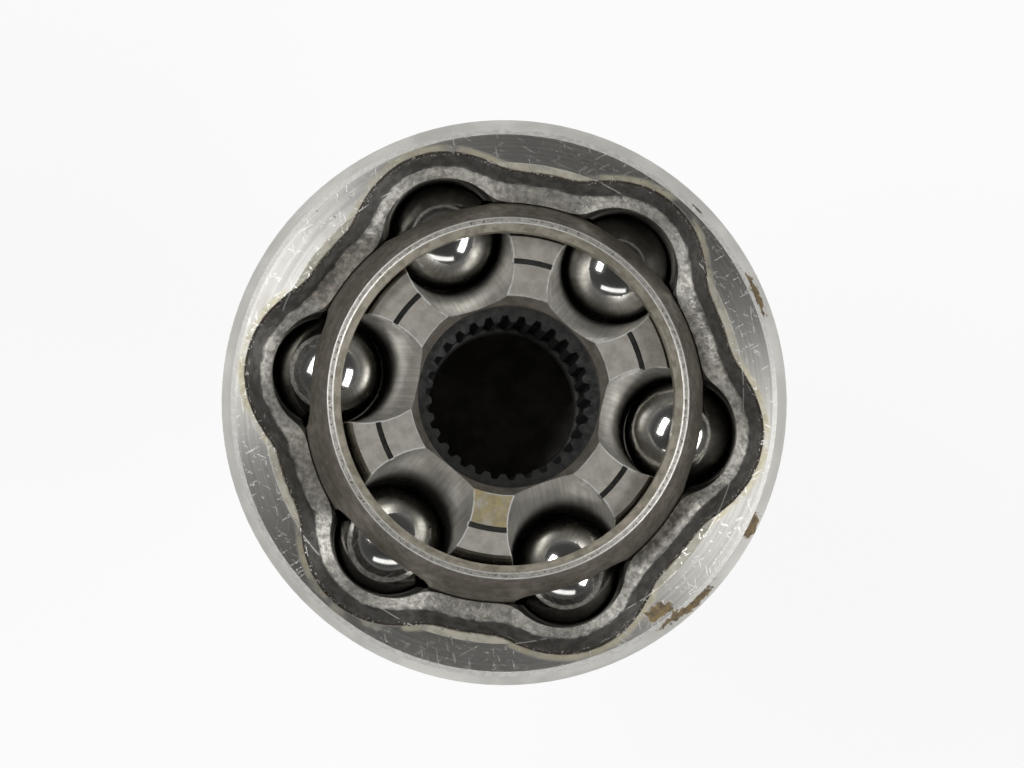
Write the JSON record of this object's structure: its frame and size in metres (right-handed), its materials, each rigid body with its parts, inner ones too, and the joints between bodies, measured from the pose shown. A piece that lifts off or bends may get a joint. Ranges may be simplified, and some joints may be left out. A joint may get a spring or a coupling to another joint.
{
  "type": "constant velocity joint",
  "caption": "Fixed ball constant-velocity joint: lobed bell with splined stub axle, ball cage with windows, tracked inner race with splined bore, and steel balls.",
  "frame": {"origin": "centre of the joint, where the axes of the stub axle and of the drive shaft's bore cross", "axes": "+Z along the outer race's axis and out of its mouth, the stub axle points to -Z; the joint bends about X, and at rest the inner race's bore leans 8.4 degrees towards -Y"},
  "size_m": [0.094, 0.094, 0.1411],
  "materials": {
    "forged_steel": "forged bell with a turned face and rim, hardened and ground tracks",
    "cage_steel": "case-hardened, dark outside, ground front ring",
    "race_steel": "hard-turned faces, ground tracks",
    "spring_steel": "dark spring wire",
    "ball_steel": "polished bearing steel"
  },
  "bodies": {
    "outer_race": {"outer_race": "forged_steel"},
    "inner_race": {"inner_race": "race_steel", "retaining_ring": "spring_steel"},
    "cage": {"cage": "cage_steel"},
    "ball_1": {"ball_1": "ball_steel"},
    "ball_2": {"ball_2": "ball_steel"},
    "ball_3": {"ball_3": "ball_steel"},
    "ball_4": {"ball_4": "ball_steel"},
    "ball_5": {"ball_5": "ball_steel"},
    "ball_6": {"ball_6": "ball_steel"}
  },
  "joints": [
    {"name": "joint_bend", "type": "hinge", "parent": "outer_race", "child": "inner_race", "pos_m": [0, 0, 0], "axis": [1, 0, 0], "range_deg": [-53.4, 36.6]},
    {"name": "cage_tilt", "type": "hinge", "parent": "outer_race", "child": "cage", "pos_m": [0, 0, 0], "axis": [1, 0, 0], "range_deg": [-26.8, 18.4]},
    {"name": "ball_1_travel", "type": "hinge", "parent": "outer_race", "child": "ball_1", "pos_m": [0, 0, 0.0042], "axis": [0.5, -0.866, 0], "range_deg": [-14.09, 9.72]},
    {"name": "ball_2_travel", "type": "hinge", "parent": "outer_race", "child": "ball_2", "pos_m": [0, 0, 0.0042], "axis": [1, 0, 0], "range_deg": [-26.9, 18.5]},
    {"name": "ball_3_travel", "type": "hinge", "parent": "outer_race", "child": "ball_3", "pos_m": [0, 0, 0.0042], "axis": [0.5, 0.866, 0], "range_deg": [-14.09, 9.72]},
    {"name": "ball_4_travel", "type": "hinge", "parent": "outer_race", "child": "ball_4", "pos_m": [0, 0, 0.0042], "axis": [-0.5, 0.866, 0], "range_deg": [-9.72, 14.09]},
    {"name": "ball_5_travel", "type": "hinge", "parent": "outer_race", "child": "ball_5", "pos_m": [0, 0, 0.0042], "axis": [-1, 0, 0], "range_deg": [-18.5, 26.9]},
    {"name": "ball_6_travel", "type": "hinge", "parent": "outer_race", "child": "ball_6", "pos_m": [0, 0, 0.0042], "axis": [-0.5, -0.866, 0], "range_deg": [-9.72, 14.09]}
  ],
  "couplings": [
    {"joint": "cage_tilt", "follows": "joint_bend", "ratio": 0.5},
    {"joint": "ball_1_travel", "follows": "joint_bend", "ratio": 0.26002},
    {"joint": "ball_2_travel", "follows": "joint_bend", "ratio": 0.5},
    {"joint": "ball_3_travel", "follows": "joint_bend", "ratio": 0.26002},
    {"joint": "ball_4_travel", "follows": "joint_bend", "ratio": -0.26002},
    {"joint": "ball_5_travel", "follows": "joint_bend", "ratio": -0.5},
    {"joint": "ball_6_travel", "follows": "joint_bend", "ratio": -0.26002}
  ]
}
